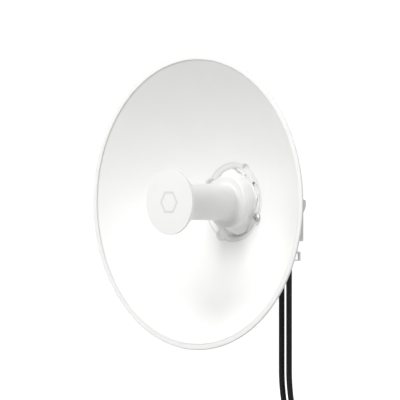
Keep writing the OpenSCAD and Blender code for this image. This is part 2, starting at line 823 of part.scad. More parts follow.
module vent_plug() color("dimgray") at_boresight() {
    rod_z(3, box_bottom - 0.5, box_bottom + cast_wall + 2, vent_x, lights_y);
    difference() {
        rod_z(5, box_bottom - 3, box_bottom, vent_x, lights_y);
        for (a = [0:60:300])
            rod_z(0.9, box_bottom - 4, box_bottom + over, vent_x + 5.2 * cos(a), lights_y + 5.2 * sin(a));
    }
}

module ground_screw() color("silver") at_boresight()
    translate([ground_x, box_back + ground_washer_t, ground_z])
        rotate([90, 0, 0]) pan_screw(2.45, 4.4, 3.2, 13);

module ground_washer() color("silver") at_boresight() difference() {
    union() {
        rod_y(4.8, box_back, box_back + ground_washer_t, ground_x, ground_z);
        for (a = [0:30:330]) translate([ground_x, 0, ground_z]) rotate([0, a, 0])
            box([0, 5.8], [box_back, box_back + ground_washer_t], [-0.6, 0.6]);
    }
    rod_y(2.6, box_back - over, box_back + 3, ground_x, ground_z);
}

// A bent tab with a square loop, to which the cables are tied
module tie_anchor() color("silver") at_boresight() {
    difference() {
        union() {
            box([11, tie_arm_x], [box_back, box_back + tie_t], [-84, -66.5]);
            slab_x(tie_arm_x - tie_t, tie_arm_x) polygon([[box_back, -84], [box_back, -70], [192, -76],
                [206, -79], [206, -93], [192, -93]]);
        }
        slab_x(tie_arm_x - 5, tie_arm_x + 5) translate([194, -91]) square([7.5, 9.5]);
        for (z = tie_z) rod_y(1.6, box_back - over, box_back + 3, tie_x, z);
    }
}

module tie_anchor_screws() color("silver") at_boresight()
    for (z = tie_z) translate([tie_x, box_back + tie_t, z]) rotate([90, 0, 0]) pan_screw(1.45, 2.8, 1.8, 10);

// Tilt yoke ------------------------------------------------------------------------------------

module cheek_outline() {
    reach = clamp_h / 2 + 2;
    round_rect([rim_ahead - saddle_half, rim_ahead + saddle_half], [-reach, reach], 6);
    difference() {
        union() {
            translate([ear_y, ear_z]) circle(ear_r);
            polygon([[rim_ahead, -reach + 6], [rim_ahead + 28, -reach + 2], [ear_y, ear_z - ear_r],
                [ear_y, ear_z + ear_r], [yoke_back, 30], [yoke_back, yoke_top + cheek_t],
                [yoke_front, yoke_top + cheek_t], [yoke_front, 0]]);
        }
        translate([ear_y + 16.5, ear_z + 14.3]) circle(ear_notch_r);
    }
}

// The arc slot, as a sector of a ring with round ends
module arc_slot(r) {
    from = 90 + slot_lean - tilt_range - 1;
    to = 90 + slot_lean + tilt_range + 1;
    translate([pivot_y, pivot_z]) {
        intersection() {
            difference() {
                circle(slot_arm + r);
                circle(slot_arm - r);
            }
            polygon([for (a = [[0, 0], [90, from], [100, (from + to) / 2], [90, to]])
                a[0] * [cos(a[1]), sin(a[1])]]);
        }
        for (a = [from, to]) rotate(a) translate([slot_arm, 0]) circle(r);
    }
}

module tilt_yoke() color("silver") at_boresight() difference() {
    union() {
        both_sides() slab_x(cheek_in, cheek_out) cheek_outline();
        slab_z(yoke_top, yoke_top + cheek_t) translate([-cheek_out, yoke_front])
            square([2 * cheek_out, yoke_back - yoke_front]);
    }
    both_sides() {
        rod_x(bush_r + 0.02, cheek_in - over, cheek_out + over, pivot_y, pivot_z);
        slab_x(cheek_in - over, cheek_out + over) arc_slot(lock_r + 0.4);
    }
    saddle_screw_places() {
        cylinder(r1 = saddle_screw_head + slip, r2 = saddle_screw_r + 0.1, h = 2.3);
        translate([0, 0, -over]) cylinder(r = saddle_screw_r + 0.1, h = 8);
    }
    // Eye for a safety lanyard
    rod_z(lanyard_r, yoke_top - over, yoke_top + cheek_t + over, 0, rim_ahead + 18);
}

// Four screws from inside the -X cheek towards the pole
module saddle_screw_places() for (y = [-1, 1], z = [-1, 1])
    translate([-cheek_in, rim_ahead + y * saddle_screw_at, z * saddle_screw_at])
        rotate([0, -90, 0]) children();

module pivot_bushes() color("ivory") at_boresight() both_sides() difference() {
    union() {
        rod_x(bush_r, cheek_in - 0.5, cheek_out, pivot_y, pivot_z);
        rod_x(bush_flange_r, box_w / 2 + slip, cheek_in, pivot_y, pivot_z);
    }
    rod_x(pivot_r + run, 30, 60, pivot_y, pivot_z);
}

module pivot_bolts() color("silver") at_boresight() both_sides() {
    rod_x(pivot_r, lug_in - 0.8, cheek_out + 2, pivot_y, pivot_z);
    rod_x(8.5, cheek_out + 0.1, cheek_out + 0.1 + washer_t, pivot_y, pivot_z);
    translate([cheek_out + 0.1 + washer_t, pivot_y, pivot_z]) rotate([0, 90, 0]) hex(m8_flats, m8_head);
}

module lock_bolt() color("silver") {
    rod_x(lock_r, 28, cheek_out + 2, lock_y, lock_z);
    translate([cheek_out + slip + washer_t, lock_y, lock_z]) rotate([0, 90, 0]) hex(m6_flats, m6_head);
}

module lock_bolt_left() at_boresight() mirror([1, 0, 0]) lock_bolt();

module lock_bolt_right() at_boresight() lock_bolt();

module lock_washers() color("silver") at_boresight() both_sides() difference() {
    rod_x(7, cheek_out + 0.1, cheek_out + 0.1 + washer_t, lock_y, lock_z);
    rod_x(lock_r + run, cheek_out, cheek_out + 3, lock_y, lock_z);
}

// Pole clamp -----------------------------------------------------------------------------------

// Half of the clamp seen from above, on the +X side of the pole
module clamp_half() difference() {
    union() {
        translate([jaw_tip, -jaw_half]) square([jaw_back - jaw_tip, 2 * jaw_half]);
        translate([wing_near, -wing_y + wing_t / 2]) square([wing_t, 2 * wing_y - wing_t]);
        for (y = [-1, 1]) translate([wing_near + wing_t / 2, y * (wing_y - wing_t / 2)]) circle(wing_t / 2);
    }
    circle(pole_r);
}

module clamp_bolt_holes() for (y = [-clamp_bolt_y, clamp_bolt_y])
    rod_x(clamp_bolt_r + 0.5, -60, 60, y, 0);

module pole_saddle() color("gainsboro") difference() {
    slab_z(-clamp_h / 2, clamp_h / 2) {
        clamp_half();
        for (y = [-27, 21]) translate([jaw_back - over, y]) square([saddle_back - jaw_back + over, 6]);
        translate([saddle_back - saddle_web, -saddle_half]) square([saddle_web, 2 * saddle_half]);
    }
    clamp_bolt_holes();
    at_boresight() saddle_screw_places() cylinder(r = saddle_screw_r + run, h = 30);
}

module saddle_screws() color("silver") at_boresight() saddle_screw_places() difference() {
    union() {
        cylinder(r1 = saddle_screw_head, r2 = saddle_screw_r, h = 2.2);
        cylinder(r = saddle_screw_r, h = cheek_t + saddle_web + 1);
    }
    translate([0, 0, -over]) hex(3, 1.8 + over);
}

module clamp_jaw() color("gainsboro") difference() {
    mirror([1, 0, 0]) slab_z(-clamp_h / 2, clamp_h / 2) {
        clamp_half();
        // Stiffening rib across the back
        translate([jaw_back - over, -14]) square([7, 28]);
    }
    clamp_bolt_holes();
}

module clamp_bolts() color("silver") for (y = [-clamp_bolt_y, clamp_bolt_y]) translate([wing_far, y, 0]) {
    rotate([0, 90, 0]) hex(m8_flats, m8_head);
    rotate([0, -90, 0]) cylinder(r = clamp_bolt_r, h = clamp_bolt_l);
}

module clamp_washers() color("silver") for (y = [-clamp_bolt_y, clamp_bolt_y]) difference() {
    rod_x(8, -wing_far - washer_t, -wing_far, y, 0);
    rod_x(clamp_bolt_r + 0.3, -60, 0, y, 0);
}

module clamp_nut(y) color("silver") translate([-wing_far - washer_t - run, y, 0]) rotate([0, -90, 0])
    difference() {
        union() {
            hex(m8_flats, m8_nut);
            cylinder(r = 8.2, h = 1.4);
        }
        translate([0, 0, -over]) cylinder(r = clamp_bolt_r + run, h = m8_nut + 2 * over);
    }

reflector();
hub_gasket();
hub_adapter();
hub_lock_screw();
adapter_screws();
subreflector_cap();
cap_badge();
subreflector_plate();
dielectric_plug();
feed_tube();
feed_collar();
feed_o_rings();
waveguide();
probe_board();
backshort();
coax_leads();
radio_front_shell();
radio_rear_shell();
shell_seal();
shell_screws();
main_board();
rf_shields();
processor();
thermal_pad();
link_connector();
board_screws();
port_board();
ethernet_jacks();
cable_plugs();
plug_boots();
main_cable();
second_cable();
cable_grommet();
port_cover();
hinge_pins();
reset_button();
reset_switch();
status_lights();
vent_plug();
ground_screw();
ground_washer();
tie_anchor();
tie_anchor_screws();
tilt_yoke();
pivot_bushes();
pivot_bolts();
lock_bolt_left();
lock_bolt_right();
lock_washers();
pole_saddle();
saddle_screws();
clamp_jaw();
clamp_bolts();
clamp_washers();
clamp_nut(-clamp_bolt_y);  // clamp_nut_front
clamp_nut(clamp_bolt_y);  // clamp_nut_rear
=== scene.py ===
"""The looks of an outdoor wireless bridge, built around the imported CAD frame.

The object's sizes are in mm, and turn into metres in row_point. The stage's are in metres."""

import json
import math

import bmesh
import bpy
import numpy as np
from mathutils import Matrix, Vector

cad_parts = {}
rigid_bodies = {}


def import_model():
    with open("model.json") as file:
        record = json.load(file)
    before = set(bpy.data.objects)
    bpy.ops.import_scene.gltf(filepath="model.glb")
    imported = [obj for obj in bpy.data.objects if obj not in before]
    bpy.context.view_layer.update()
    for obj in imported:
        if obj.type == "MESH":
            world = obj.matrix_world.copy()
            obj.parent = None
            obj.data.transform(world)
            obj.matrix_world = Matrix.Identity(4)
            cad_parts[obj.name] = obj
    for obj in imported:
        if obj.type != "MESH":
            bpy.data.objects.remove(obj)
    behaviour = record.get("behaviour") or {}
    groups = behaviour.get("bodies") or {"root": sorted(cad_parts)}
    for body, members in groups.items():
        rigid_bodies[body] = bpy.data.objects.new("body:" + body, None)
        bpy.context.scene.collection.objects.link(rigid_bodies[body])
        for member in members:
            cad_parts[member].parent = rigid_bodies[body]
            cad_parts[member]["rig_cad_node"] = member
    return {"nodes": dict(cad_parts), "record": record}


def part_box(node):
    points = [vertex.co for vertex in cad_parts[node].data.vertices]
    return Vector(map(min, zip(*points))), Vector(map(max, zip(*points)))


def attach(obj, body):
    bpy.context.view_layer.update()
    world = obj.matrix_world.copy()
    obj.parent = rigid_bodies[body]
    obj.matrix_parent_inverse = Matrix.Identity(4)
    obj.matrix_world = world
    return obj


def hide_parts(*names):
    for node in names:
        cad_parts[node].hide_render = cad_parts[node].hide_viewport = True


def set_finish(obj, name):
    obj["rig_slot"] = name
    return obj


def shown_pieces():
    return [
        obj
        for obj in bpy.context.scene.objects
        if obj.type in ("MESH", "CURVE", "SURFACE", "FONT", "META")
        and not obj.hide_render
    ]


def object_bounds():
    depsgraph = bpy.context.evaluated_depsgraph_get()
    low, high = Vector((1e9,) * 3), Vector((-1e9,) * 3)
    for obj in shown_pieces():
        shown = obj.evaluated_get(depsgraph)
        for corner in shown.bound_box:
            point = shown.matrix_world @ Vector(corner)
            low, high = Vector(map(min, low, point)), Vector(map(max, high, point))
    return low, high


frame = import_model()
cad_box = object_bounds()

MM = 0.001
TAU = 2 * math.pi
SAME_POINT = 1e-7                       # points closer than this, in metres, are merged
LATHE_SEGMENTS = 192
FINE_SEGMENTS = 720                     # for the dish and collar, whose outlines aren't round

# Places, read from the frame. Depth is measured back from the front plane of the rim.
DISH_LOW, DISH_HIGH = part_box("reflector")
AXIS_X = (DISH_LOW.x + DISH_HIGH.x) / 2
AXIS_Z = (DISH_LOW.z + DISH_HIGH.z) / 2
RIM_Y = DISH_LOW.y
RIM_R = (DISH_HIGH.x - DISH_LOW.x) / 2 / MM


def depth_range(node):
    """How far a node's front and back lie behind the rim, in mm."""
    low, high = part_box(node)
    return (low.y - RIM_Y) / MM, (high.y - RIM_Y) / MM


def radius_of(node):
    """Half of a node's width, in mm."""
    low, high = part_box(node)
    return (high.x - low.x) / 2 / MM


def row_point(x, depth, z):
    """A point given in mm from the boresight and the rim plane, in the row frame."""
    return Vector((AXIS_X + x * MM, RIM_Y + depth * MM, AXIS_Z + z * MM))


# ---------------------------------------------------------------------------------------------- mesh helpers

def make_object(name, points, faces, body, slot, sharp_angle=0.6):
    """A cleaned, smooth-shaded mesh that rides on a body. Edges sharper than sharp_angle stay sharp."""
    mesh = bpy.data.meshes.new(name)
    mesh.from_pydata([tuple(p) for p in points], [], faces)
    solid = bmesh.new()
    solid.from_mesh(mesh)
    bmesh.ops.remove_doubles(solid, verts=solid.verts, dist=SAME_POINT)
    bmesh.ops.dissolve_degenerate(solid, edges=solid.edges, dist=SAME_POINT)
    bmesh.ops.recalc_face_normals(solid, faces=solid.faces)
    solid.to_mesh(mesh)
    solid.free()
    mesh.update()
    mesh.shade_smooth()
    mesh.set_sharp_from_angle(angle=sharp_angle)
    obj = bpy.data.objects.new(name, mesh)
    bpy.context.scene.collection.objects.link(obj)
    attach(obj, body)
    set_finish(obj, slot)
    return obj


def polar_mesh(rings, segments, closed=True, centre=(0.0, 0.0), turn=0.0):
    """Points and faces of rings about an axis along the boresight, each given as (radii, depths) in mm.

    Radii and depths are numbers, or arrays with a value for each segment. A closed skin joins its last
    ring to its first; an open one has a flat face over each end."""
    angle = np.arange(segments) * TAU / segments + turn
    points, faces = [], []
    for radii, depths in rings:
        r = np.broadcast_to(radii, angle.shape)
        d = np.broadcast_to(depths, angle.shape)
        points += [row_point(centre[0] + a * math.cos(t), b, centre[1] + a * math.sin(t))
                   for a, b, t in zip(r, d, angle)]
    count = len(rings)
    for k in range(count if closed else count - 1):
        near, far = k * segments, ((k + 1) % count) * segments
        for i in range(segments):
            j = (i + 1) % segments
            faces.append((near + i, near + j, far + j, far + i))
    if not closed:
        faces.append(tuple(reversed(range(segments))))
        faces.append(tuple(range((count - 1) * segments, count * segments)))
    return points, faces


def merged(parts):
    """Several (points, faces) meshes as one."""
    points, faces = [], []
    for some_points, some_faces in parts:
        start = len(points)
        points += some_points
        faces += [tuple(start + i for i in face) for face in some_faces]
    return points, faces


def lathe(name, profile, body, slot, closed=True):
    """A profile of (r, depth) points turned about the boresight."""
    return make_object(name, *polar_mesh(profile, LATHE_SEGMENTS, closed), body, slot)


def arc(r, depth, radius, start, stop, count):
    """Points of an arc about (r, depth), in degrees: 0 points away from the boresight and 90 to the front."""
    return [(r + radius * math.cos(a), depth - radius * math.sin(a))
            for a in np.radians(np.linspace(start, stop, count))]


def smooth_max(a, b, k):
    """The larger of a and b, blended where they differ by less than k."""
    h = np.clip(0.5 + 0.5 * (a - b) / k, 0, 1)
    return b * (1 - h) + a * h + k * h * (1 - h)


def smooth_min(a, b, k):
    return -smooth_max(-a, -b, k)


# ---------------------------------------------------------------------------------------------- materials

class Graph:
    """A short way to wire up a node tree. Sizes of noise and cells are in mm, on the piece itself."""

    def __init__(self, name):
        self.material = bpy.data.materials.new(name)
        self.material.use_nodes = True
        self.tree = self.material.node_tree
        self.tree.nodes.clear()
        self.output = self.add("ShaderNodeOutputMaterial")
        self.place = self.add("ShaderNodeTexCoord").outputs["Object"]

    def add(self, kind, inputs=None, **settings):
        node = self.tree.nodes.new(kind)
        for key, value in settings.items():
            setattr(node, key, value)
        for key, value in (inputs or {}).items():
            socket = node.inputs[key]
            if isinstance(value, bpy.types.NodeSocket):
                self.tree.links.new(value, socket)
            else:
                socket.default_value = value
        return node

    def noise(self, size_mm, detail=3.0, roughness=0.55, stretch=None):
        where = self.place
        if stretch:
            where = self.add("ShaderNodeMapping", {"Vector": where, "Scale": stretch}).outputs["Vector"]
        node = self.add("ShaderNodeTexNoise",
                        {"Vector": where, "Scale": 1 / (size_mm * MM), "Detail": detail,
                         "Roughness": roughness})
        return node.outputs["Fac"]

    def ramp(self, value, low, high, out_low, out_high):
        node = self.add("ShaderNodeMapRange", {"Value": value, "From Min": low, "From Max": high,
                                               "To Min": out_low, "To Max": out_high})
        return node.outputs["Result"]

    def mix(self, factor, a, b):
        return self.add("ShaderNodeMix", {0: factor, 6: a, 7: b}, data_type="RGBA").outputs[2]

    def math(self, operation, a, b):
        return self.add("ShaderNodeMath", {0: a, 1: b}, operation=operation).outputs[0]

    def edge_mask(self, width_mm=0.5):
        """One along edges, fading over the width, broken up by noise."""
        bevel = self.add("ShaderNodeBevel", {"Radius": width_mm * MM}, samples=4)
        flat = self.add("ShaderNodeNewGeometry").outputs["Normal"]
        dot = self.add("ShaderNodeVectorMath", {0: bevel.outputs["Normal"], 1: flat}, operation="DOT_PRODUCT")
        edge = self.ramp(dot.outputs["Value"], 0.995, 0.90, 0.0, 1.0)
        return self.math("MULTIPLY", edge, self.ramp(self.noise(2.5), 0.42, 0.62, 0.0, 1.0))

    def bump(self, layers):
        """Layers of (height, strength, distance in mm) stacked into one normal."""
        normal = None
        for height, strength, distance in layers:
            inputs = {"Height": height, "Strength": strength, "Distance": distance * MM}
            if normal is not None:
                inputs["Normal"] = normal
            normal = self.add("ShaderNodeBump", inputs).outputs["Normal"]
        return normal

    def finish(self, **inputs):
        shader = self.add("ShaderNodeBsdfPrincipled", inputs)
        self.tree.links.new(shader.outputs["BSDF"], self.output.inputs["Surface"])
        return self.material


def tint(colour, factor):
    """The colour made lighter or darker, with an alpha of one."""
    return tuple(min(1.0, c * factor) for c in colour[:3]) + (1.0,)


def powder_coat(name, colour, peel_mm=1.1, peel=0.10, rough=(0.36, 0.48)):
    """Baked paint: orange peel, fine grain, faint clouding, thin paint on edges and painted shade in marked
    creases and on the rim's edge.
    """
    g = Graph(name)
    cloud = g.ramp(g.noise(60, 2), 0.3, 0.7, 0.0, 1.0)
    base = g.mix(cloud, tint(colour, 0.985), tint(colour, 1.0))
    dust = g.ramp(g.noise(7, 5), 0.60, 0.78, 0.0, 0.10)
    base = g.mix(dust, base, tint(colour, 0.86))
    wear = g.math("MULTIPLY", g.edge_mask(0.5), 0.35)
    base = g.mix(wear, base, tint(colour, 0.90))
    # Painted shade: the paint is darkened where the vertex attribute marks a crease or the rim's edge
    crease_shade = g.add("ShaderNodeAttribute", attribute_name="crease_shade").outputs["Fac"]
    base = g.mix(g.math("MULTIPLY", crease_shade, 0.8), base, tint(colour, 0.70))
    return g.finish(**{
        "Base Color": base,
        "Roughness": g.ramp(g.noise(11, 4), 0.3, 0.7, *rough),
        "Coat Weight": 0.12,
        "Coat Roughness": 0.25,
        "Normal": g.bump([(g.noise(peel_mm, 2), peel, 0.10), (g.noise(0.25, 2), 0.06, 0.03)]),
    })


def moulded_plastic(name, colour, grain_mm=0.35, grain=0.10, rough=(0.34, 0.46), haze=0.06, soft=0.0):
    """Injection-moulded plastic: spark-eroded grain, slow flow marks and slightly polished edges."""
    g = Graph(name)
    flow = g.ramp(g.noise(34, 3, stretch=(1, 1, 0.35)), 0.3, 0.7, 0.0, 1.0)
    base = g.mix(flow, tint(colour, 1 - haze), tint(colour, 1.0))
    rub = g.edge_mask(0.4)
    base = g.mix(g.math("MULTIPLY", rub, 0.25), base, tint(colour, 1.06))
    roughness = g.ramp(g.noise(9, 4), 0.3, 0.7, *rough)
    return g.finish(**{
        "Base Color": base,
        "Roughness": g.math("SUBTRACT", roughness, g.math("MULTIPLY", rub, 0.08)),
        "Subsurface Weight": soft,
        "Subsurface Radius": (0.002, 0.002, 0.0018),
        "Normal": g.bump([(g.noise(grain_mm, 3), grain, 0.05), (g.noise(4.5, 2), 0.05, 0.12)]),
    })


def bare_metal(name, colour, rough=(0.22, 0.38), brush=None, spangle_mm=0.0, cast=0.0, stain=0.12):
    """Uncoated metal. Brushing, zinc spangle or a cast skin is laid over slow tarnish."""
    g = Graph(name)
    tarnish = g.ramp(g.noise(14, 4), 0.35, 0.72, 0.0, 1.0)
    base = g.mix(tarnish, tint(colour, 1.0), tint(colour, 1 - stain))
    roughness = g.ramp(g.noise(5, 4), 0.3, 0.7, *rough)
    layers = [(g.noise(0.5, 3), 0.08, 0.04)]
    if spangle_mm:
        cells = g.add("ShaderNodeTexVoronoi", {"Vector": g.place, "Scale": 1 / (spangle_mm * MM)})
        shade = g.add("ShaderNodeSeparateColor", {"Color": cells.outputs["Color"]}).outputs["Red"]
        base = g.mix(g.math("MULTIPLY", shade, 0.30), base, tint(colour, 0.78))
        roughness = g.math("ADD", roughness, g.ramp(shade, 0, 1, -0.06, 0.10))
    if brush:
        lines = g.noise(0.6, 3, stretch=brush)
        roughness = g.math("ADD", roughness, g.ramp(lines, 0.3, 0.7, -0.05, 0.07))
        layers.append((lines, 0.12, 0.03))
    if cast:
        layers.append((g.noise(0.9, 4), cast, 0.12))
        layers.append((g.noise(6, 2), cast * 0.6, 0.25))
    wear = g.edge_mask(0.6)
    base = g.mix(g.math("MULTIPLY", wear, 0.5), base, tint(colour, 1.12))
    return g.finish(**{
        "Base Color": base,
        "Metallic": 1.0,
        "Roughness": g.math("SUBTRACT", roughness, g.math("MULTIPLY", wear, 0.08)),
        "Normal": g.bump(layers),
    })


def rubber(name, colour, rough=(0.55, 0.72), ribs=0.0, bloom=0.10, sheen=0.35):
    """Rubber, gel or cable jacket, with a bloom of grey dust and, where ribs is set, extruded lines."""
    g = Graph(name)
    dust = g.ramp(g.noise(8, 5), 0.48, 0.80, 0.0, bloom)
    base = g.mix(dust, tint(colour, 1.0), (0.30, 0.29, 0.28, 1.0))
    layers = [(g.noise(0.4, 3), 0.12, 0.05), (g.noise(3.0, 3), 0.06, 0.10)]
    if ribs:
        layers.append((g.noise(0.8, 2, stretch=(1, 1, 0.02)), ribs, 0.06))
    return g.finish(**{
        "Base Color": base,
        "Specular IOR Level": sheen,
        "Roughness": g.ramp(g.noise(6, 4), 0.3, 0.7, *rough),
        "Normal": g.bump(layers),
    })


def circuit_board(name, colour):
    """Solder mask over copper: rows of tracks and vias under a glossy green film."""
    g = Graph(name)
    tracks = g.add("ShaderNodeTexBrick", {"Vector": g.place, "Scale": 240.0, "Mortar Size": 0.03,
                                          "Brick Width": 0.8, "Row Height": 0.2})
    base = g.mix(g.math("MULTIPLY", tracks.outputs["Fac"], 0.5), tint(colour, 1.0), tint(colour, 1.9))
    speck = g.ramp(g.noise(1.6, 2), 0.66, 0.70, 0.0, 0.6)
    base = g.mix(speck, base, (0.55, 0.52, 0.40, 1.0))
    return g.finish(**{
        "Base Color": base,
        "Roughness": g.ramp(g.noise(4, 3), 0.3, 0.7, 0.22, 0.36),
        "Normal": g.bump([(tracks.outputs["Fac"], 0.15, 0.04), (g.noise(0.6, 2), 0.05, 0.03)]),
    })


def clear_plastic(name, colour, alpha):
    """See-through plastic with a faint haze; alpha is the share of it that doesn't transmit light."""
    g = Graph(name)
    return g.finish(**{
        "Base Color": g.mix(g.ramp(g.noise(5, 3), 0.3, 0.7, 0, 1), tint(colour, 0.95), tint(colour, 1.0)),
        "Roughness": g.ramp(g.noise(3, 3), 0.3, 0.7, 0.08, 0.20),
        "Transmission Weight": 1 - alpha,
        "IOR": 1.58,
        "Normal": g.bump([(g.noise(1.5, 2), 0.06, 0.05)]),
    })


# How each material slot of the record is made, and with what settings
LOOKS = {
    "dish_paint": (powder_coat, {"peel_mm": 1.3, "peel": 0.05}),
    "white_plastic": (moulded_plastic, {"haze": 0.015, "grain": 0.05, "soft": 0.04}),
    # The tube's slot is a darker copy of the white plastic: painted shade for the cap's shadow on the white
    # tube
    "tube_plastic": (moulded_plastic, {"haze": 0.02, "grain": 0.05, "soft": 0.02}),
    "shell_paint": (powder_coat, {"peel_mm": 0.9, "peel": 0.16, "rough": (0.40, 0.55)}),
    "badge": (moulded_plastic, {"grain": 0.04, "rough": (0.30, 0.40), "haze": 0.03}),
    "zinc_steel": (bare_metal, {"rough": (0.34, 0.50), "spangle_mm": 5.0}),
    "stainless": (bare_metal, {"rough": (0.14, 0.26), "stain": 0.06}),
    "cast_alloy": (bare_metal, {"rough": (0.42, 0.58), "cast": 0.22}),
    "turned_alloy": (bare_metal, {"brush": (1, 0.05, 1)}),
    "black_rubber": (rubber, {}),
    "cable_jacket": (rubber, {"rough": (0.38, 0.52), "ribs": 0.10, "bloom": 0.02, "sheen": 0.06}),
    "grey_plastic": (moulded_plastic, {"grain": 0.18, "rough": (0.45, 0.60)}),
    "bush_plastic": (moulded_plastic, {"soft": 0.1}),
    "circuit_board": (circuit_board, {}),
    "shield_tin": (bare_metal, {"rough": (0.20, 0.34), "brush": (1, 1, 0.05)}),
    "chip_plastic": (moulded_plastic, {"grain": 0.22, "rough": (0.55, 0.70)}),
    "thermal_gel": (rubber, {"bloom": 0.02}),
    "clear_plastic": (clear_plastic, {"alpha": 0.35}),
    "light_pipe": (clear_plastic, {"alpha": 0.4}),
    "copper_coax": (bare_metal, {"rough": (0.25, 0.40)}),
}


def make_materials():
    colours = {m["slot"]: m["base_color"] for m in frame["record"]["materials"]}
    return {slot: make(slot, colours[slot], **settings) for slot, (make, settings) in LOOKS.items()}


# ---------------------------------------------------------------------------------------------- the dish

# The same sizes as the CAD's, except where said
FOCAL = 144.0
SHEET = 1.6                             # thickness of the metal
RIM_W = 9.5
RIM_STEP = 1.3                          # depth at which the bowl meets the rim
BOWL_R = RIM_R - RIM_W
BOWL_STEPS = 56
VERTEX = BOWL_R ** 2 / (4 * FOCAL) + RIM_STEP
LIP_R = 2.4                             # rounding of the rim's edge, softer than the CAD's
HEM = 2.6                               # how far back the rim's folded edge reaches

# The recess: a pressed cup with four lobes, and a hole that leaves a tab under the screw
HUB_R = 62.0
LOBE_AT, LOBE_R, LOBE_ANGLE = 55.0, 12.0, math.radians(62)
LOBE_BLEND = 1.6                        # softens the corners between the circle and its lobes
CUP_DEEP = 4.3
CUP_TAPER, LOBE_TAPER = 7.0, 2.3        # how much narrower the floor is; the CAD's lobes taper a little less
CUP_REACH = 84.0                        # rings of the bowl follow the lobes inside this radius
HUB_LIP = VERTEX - HUB_R ** 2 / (4 * FOCAL)
HUB_FLOOR = HUB_LIP + CUP_DEEP
HUB_HOLE_R = 53.2
HUB_TAB_R = 7.6
HUB_SCREW_AT, HUB_SCREW_ANGLE = 54.6, math.radians(334.5)
HUB_SCREW_HEAD = 7.2

# Tooled creases, which the CAD doesn't have, and the width of the line of painted shade laid over them and
# over the rim's edge
CREASE_W, CREASE_DEEP = 1.0, 0.6
SHADE_LINE_W = 0.9


def bowl_depth(r):
    return VERTEX - r * r / (4 * FOCAL)


def lobed_outline(angle, circle, lobe):
    """Radius of a circle with four round lobes, with the corners between them softened."""
    edge = np.full_like(angle, circle)
    for i in range(4):
        off = angle - (LOBE_ANGLE + i * TAU / 4)
        side = LOBE_AT * np.sin(off)
        reach = LOBE_AT * np.cos(off) + np.sqrt(np.clip(lobe ** 2 - side ** 2, 0, None))
        inside = (np.abs(side) < lobe) & (np.cos(off) > 0)
        edge = smooth_max(edge, np.where(inside, reach, 0.0), LOBE_BLEND)
    return edge


def cup_lip(angle):
    return lobed_outline(angle, HUB_R, LOBE_R)


def cup_foot(angle):
    return lobed_outline(angle, HUB_R - CUP_TAPER, LOBE_R - LOBE_TAPER)


def hub_hole(angle):
    """Radius of the hole in the recess's floor, which leaves a tab of metal under the hub screw."""
    off = angle - HUB_SCREW_ANGLE
    side = HUB_SCREW_AT * np.sin(off)
    near = HUB_SCREW_AT * np.cos(off) - np.sqrt(np.clip(HUB_TAB_R ** 2 - side ** 2, 0, None))
    inside = (np.abs(side) < HUB_TAB_R) & (np.cos(off) > 0)
    return np.where(inside, np.minimum(HUB_HOLE_R, near), HUB_HOLE_R)


def cup_rings(angle):
    """Rings of the recess's front, from the hub hole to its lip: a straight wall between two creases."""
    hole, foot, lip = hub_hole(angle), cup_foot(angle), cup_lip(angle)
    half = CREASE_W / 2
    top = bowl_depth(lip + half)
    rings = [(hole, HUB_FLOOR + SHEET * 0.3), (hole + 0.3, HUB_FLOOR), (foot - 2 * half, HUB_FLOOR),
             (foot - half, HUB_FLOOR), (foot, HUB_FLOOR + CREASE_DEEP)]
    for t in (0.12, 0.4, 0.7, 0.9):
        rings.append((foot + half + (lip - foot - 2 * half) * t, HUB_FLOOR + (top - HUB_FLOOR) * t))
    return rings + [(lip, top + CREASE_DEEP), (lip + half, top)]


def bowl_rings(angle):
    """Rings of the bowl's front, which turn from the lobed outline to round ones."""
    start = cup_lip(angle) + CREASE_W / 2
    radii = [start + (CUP_REACH - start) * t for t in (0.03, 0.08, 0.3, 0.55, 0.8, 1.0)]
    steps = [k / BOWL_STEPS for k in range(1, BOWL_STEPS)] + [0.985, 0.992, 1.0]
    radii += [CUP_REACH + (BOWL_R - CUP_REACH) * t for t in steps]
    return [(r, bowl_depth(r)) for r in radii]


def rim_profile():
    """The flat rim, its rounded edge and its hem, from the bowl's edge round to behind, as (r, depth)."""
    flat = BOWL_R + 1.5
    inner = RIM_R - SHEET
    points = [(BOWL_R + 0.1, RIM_STEP + CREASE_DEEP), (BOWL_R + 0.5, RIM_STEP + CREASE_DEEP * 0.8),
              (BOWL_R + 0.8, 0.30), (BOWL_R + 1.1, 0.06), (flat, 0.0), (flat + 2.0, 0.0),
              (RIM_R - LIP_R - 1.6, 0.0)]
    points += arc(RIM_R - LIP_R, LIP_R, LIP_R, 90, 0, 12)
    return points + [(RIM_R - 0.05, HEM - 0.1), (RIM_R - 0.4, HEM), (inner + 0.3, HEM),
                     (inner, HEM - 0.3), (inner, SHEET), (flat + 0.7, SHEET)]


def back_point(r):
    """The bowl's rear surface behind the front point at radius r."""
    slope = r / (2 * FOCAL)
    run = np.sqrt(1 + slope ** 2)
    return r + SHEET * slope / run, bowl_depth(r) + SHEET / run


def dish_back(angle):
    """Rings of the rear surface, from the bowl's edge in to the hub hole."""
    lip, foot, hole = cup_lip(angle), cup_foot(angle), hub_hole(angle)
    floor_back = HUB_FLOOR + SHEET
    rings = [back_point(r) for r in np.linspace(BOWL_R, CUP_REACH, 40)]
    rings += [back_point(CUP_REACH + (lip + 2.6 - CUP_REACH) * t) for t in (0.25, 0.5, 0.75, 1.0)]
    near_r, near_depth = back_point(lip + 1.4)
    for t in np.linspace(0.15, 1.0, 6):
        rings.append((near_r + (foot - near_r) * t, near_depth + (floor_back - near_depth) * t))
    return rings + [(hole + 0.3, floor_back), (hole, floor_back - 0.3)]


